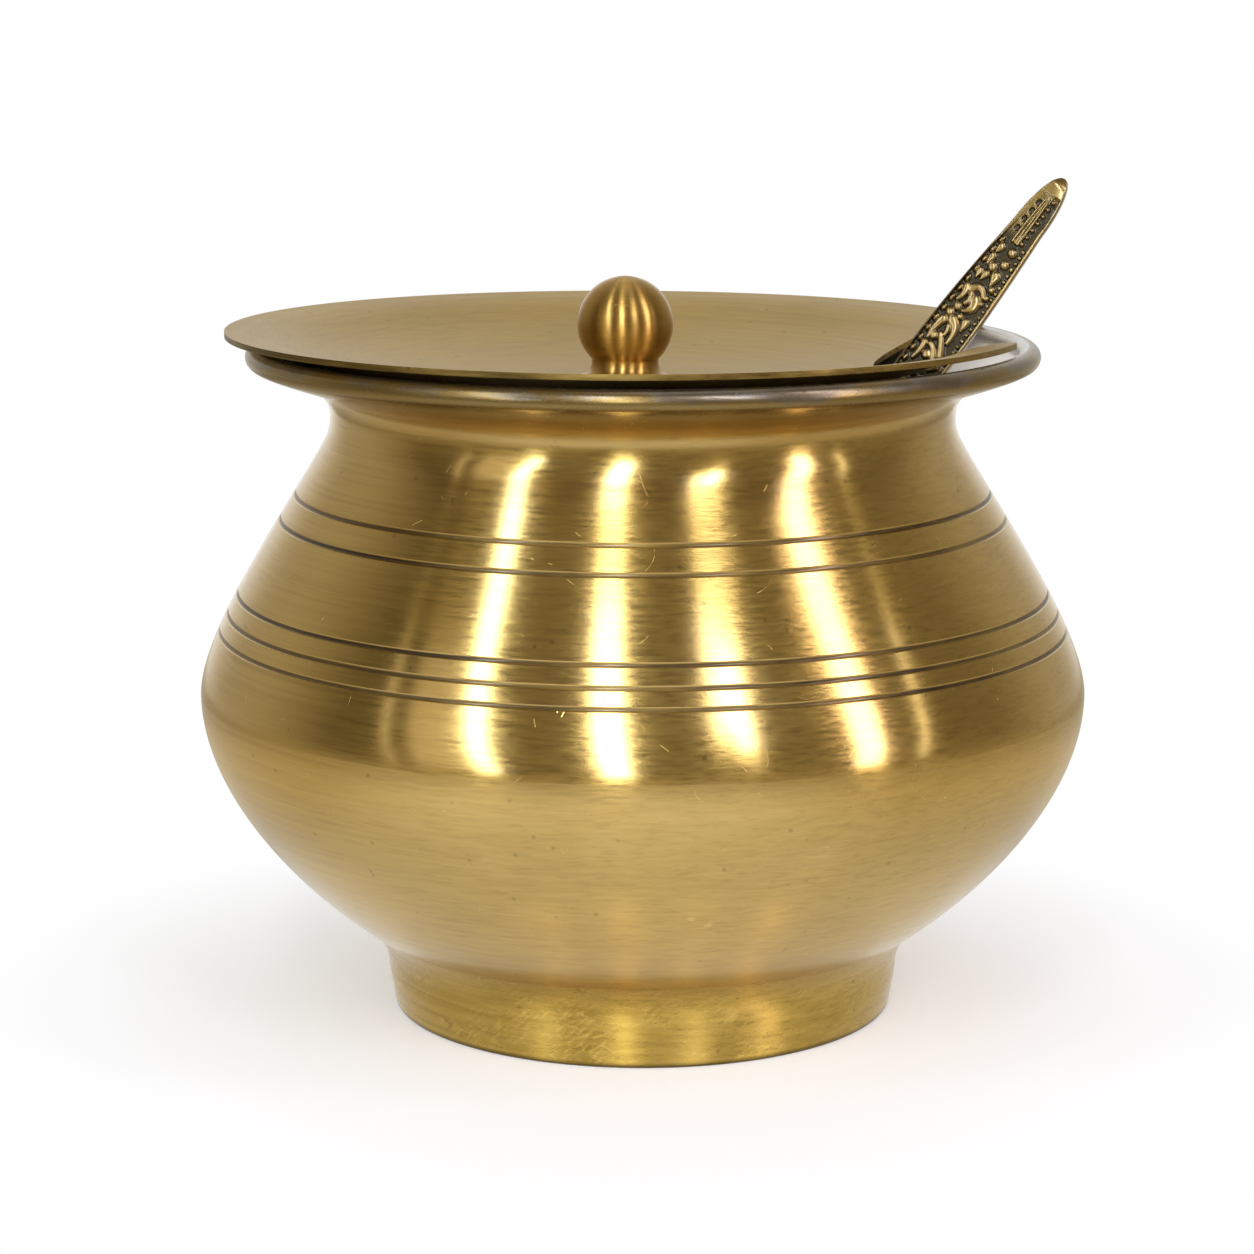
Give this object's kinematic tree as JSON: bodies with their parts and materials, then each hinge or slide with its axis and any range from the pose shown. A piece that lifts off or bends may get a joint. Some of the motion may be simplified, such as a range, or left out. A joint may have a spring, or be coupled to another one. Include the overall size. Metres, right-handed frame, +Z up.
{
  "type": "ghee pot",
  "caption": "Round-bellied brass ghee pot on a foot ring, with a flared lip, a loose dished lid with a ball knob and a bite for the spoon, and a small cast spoon.",
  "frame": {"origin": "centre of the foot ring's flat underside, on the pot's axis, which is also the middle of the bounding box's bottom", "axes": "+Z up along the pot's axis, +X towards the side where the spoon's handle comes out, +Y away from the viewer in the picture"},
  "size_m": [0.1104, 0.1104, 0.1039],
  "materials": {
    "brass_bowl": "satin, brushed round the pot",
    "brass_shell": "brushed round the pot with turned grooves, tinned on the inside and on the lip",
    "brass_foot": "satin, scratched",
    "brass_lid": "matt, finely brushed",
    "brass_knob": "polished",
    "screw_metal": "dull",
    "washer_metal": "dull",
    "antique_brass": "cast relief with dark recesses"
  },
  "bodies": {
    "pot": {"lower_bowl": "brass_bowl", "upper_shell": "brass_shell", "foot_ring": "brass_foot"},
    "lid": {"lid_dish": "brass_lid", "lid_knob": "brass_knob", "knob_washer": "washer_metal", "knob_screw": "screw_metal"},
    "spoon": {"spoon": "antique_brass"}
  },
  "joints": [
    {"name": "lid_lift", "type": "slide", "parent": "pot", "child": "lid", "axis": [0, 0, 1], "range_m": [0, 0.07]},
    {"name": "spoon_draw", "type": "slide", "parent": "pot", "child": "spoon", "axis": [0.5976, 0, 0.8018], "range_m": [0, 0.04]}
  ]
}
